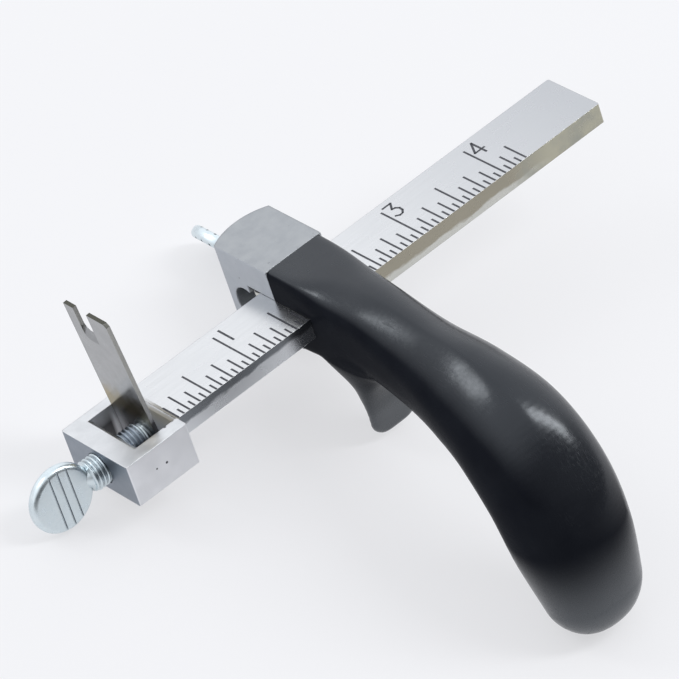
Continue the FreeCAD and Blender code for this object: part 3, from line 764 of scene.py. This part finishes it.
def scale_lines():
    verts, faces = [], []
    for sixteenth in range(FIRST_SIXTEENTH, LAST_SIXTEENTH + 1):
        x = sixteenth * INCH / 16
        length = next(reach for step, reach in LINE_LENGTHS.items() if sixteenth % step == 0)
        stroke([(x, SCALE_START_Y), (x, SCALE_START_Y + length)], LINE_WIDTH, verts, faces)
    return verts, faces


def numeral(digit):
    """A numeral to the right of its inch line."""
    verts, faces = [], []
    left = digit * INCH + FIGURE_LEFT
    for line in NUMERALS[digit]:
        points = [(left + x, FIGURE_FOOT + y) for x, y in line]
        stroke(points, FIGURE_LINE_WIDTH, verts, faces)
    return verts, faces


def make_scale():
    lines = new_piece("scale_lines", "bar_carriage", INK, *scale_lines(), smooth=False)
    for digit in NUMERALS:
        figure = new_piece(f"scale_figure_{digit}", "bar_carriage", INK, *numeral(digit), smooth=False)


# ---------------------------------------------------------------- the whole tool

dress_node("head_frame", HEAD_METAL)
dress_node("graduated_bar", BAR_METAL)
dress_node("blade_holder", HOLDER_METAL)
dress_node("blade", BLADE_METAL)
dress_node("bar_lock_shoe", SHOE_METAL)
make_grip()
make_screws()
make_scale()


# ---------------------------------------------------------------- bench, light and camera

# The bench and the soft boxes are in the frame's axes and in metres.
SOFT_BOX_DISTANCE = 1.3

# The camera is in the tool's axes, from the calibration on the scale that also gave the tool's size:
# its place in millimetres, its line of sight and its upward direction.
CAMERA_PLACE = (-494.15, -1006.08, 820.03)
CAMERA_VIEW = (0.3852, 0.7094, -0.5903)
CAMERA_UP = (0.5545, 0.3334, 0.7625)


def make_floor():
    """A pale bench that glows like a light table, which keeps the shadows pale."""
    shader = Shader("light_table", (0.26, 0.262, 0.27), 0.0, 0.7)
    cloud = shader.noise(0.004, 3)
    shader.colour(shader.mix(shader.spread(cloud, 0.3, 0.7),
                             (0.255, 0.257, 0.265), (0.265, 0.267, 0.275)))
    shader.surface.inputs["Specular IOR Level"].default_value = 0.0
    shader.surface.inputs["Emission Color"].default_value = (0.98, 0.98, 1.0, 1)
    shader.surface.inputs["Emission Strength"].default_value = 0.60
    reach = 3.0
    corners = [(-reach, -reach, 0), (reach, -reach, 0), (reach, reach, 0), (-reach, reach, 0)]
    mesh = bpy.data.meshes.new("bench")
    mesh.from_pydata(corners, [], [(0, 1, 2, 3)])
    bench = bpy.data.objects.new("bench", mesh)
    mesh.materials.append(shader.material)
    bpy.context.scene.collection.objects.link(bench)


def soft_box(name, aim, width, height, radiance):
    """A soft box that looks back at the tool from a direction, as bright as its radiance says."""
    data = bpy.data.lights.new(name, "AREA")
    data.shape = "RECTANGLE"
    data.size = width
    data.size_y = height
    data.energy = radiance * math.pi * width * height
    lamp = bpy.data.objects.new(name, data)
    lamp.location = Vector(aim).normalized() * SOFT_BOX_DISTANCE
    lamp.rotation_euler = (-lamp.location).to_track_quat("-Z", "Y").to_euler()
    bpy.context.scene.collection.objects.link(lamp)


def make_light():
    """A room that is bright behind and above the tool and dim in front of it, and two soft boxes."""
    world = bpy.data.worlds.new("studio")
    world.use_nodes = True
    nodes = world.node_tree.nodes
    links = world.node_tree.links
    texture = nodes.new("ShaderNodeTexCoord")
    lean = nodes.new("ShaderNodeVectorMath")
    lean.operation = "DOT_PRODUCT"
    lean.inputs[1].default_value = (0.0, 1.0, 0.3)
    ramp = nodes.new("ShaderNodeMapRange")
    ramp.interpolation_type = "SMOOTHSTEP"
    ramp.inputs["From Min"].default_value = -0.40
    ramp.inputs["From Max"].default_value = 0.25
    ramp.inputs["To Min"].default_value = 0.18
    ramp.inputs["To Max"].default_value = 1.22
    background = nodes["Background"]
    background.inputs["Color"].default_value = (0.95, 0.97, 1.0, 1)
    links.new(texture.outputs["Generated"], lean.inputs[0])
    links.new(lean.outputs["Value"], ramp.inputs["Value"])
    links.new(ramp.outputs["Result"], background.inputs["Strength"])
    bpy.context.scene.world = world
    soft_box("overhead", (0.58, -0.28, 0.90), 0.24, 0.95, 10.0)
    soft_box("window", (-0.48, 0.62, 0.63), 0.22, 0.5, 7.0)


def make_camera():
    turn = TO_BENCH.to_3x3().normalized()
    view = (turn @ Vector(CAMERA_VIEW)).normalized()
    right = view.cross(turn @ Vector(CAMERA_UP)).normalized()
    up = right.cross(view)
    data = bpy.data.cameras.new("camera")
    data.sensor_width = 36
    data.lens = 334.9
    data.clip_start = 0.05
    data.clip_end = 20
    camera = bpy.data.objects.new("camera", data)
    place = Matrix.Translation(TO_BENCH @ Vector(CAMERA_PLACE))
    camera.matrix_world = place @ Matrix((right, up, -view)).transposed().to_4x4()
    bpy.context.scene.collection.objects.link(camera)
    bpy.context.scene.camera = camera


make_floor()
make_light()
make_camera()
bpy.context.scene.view_settings.view_transform = "Standard"
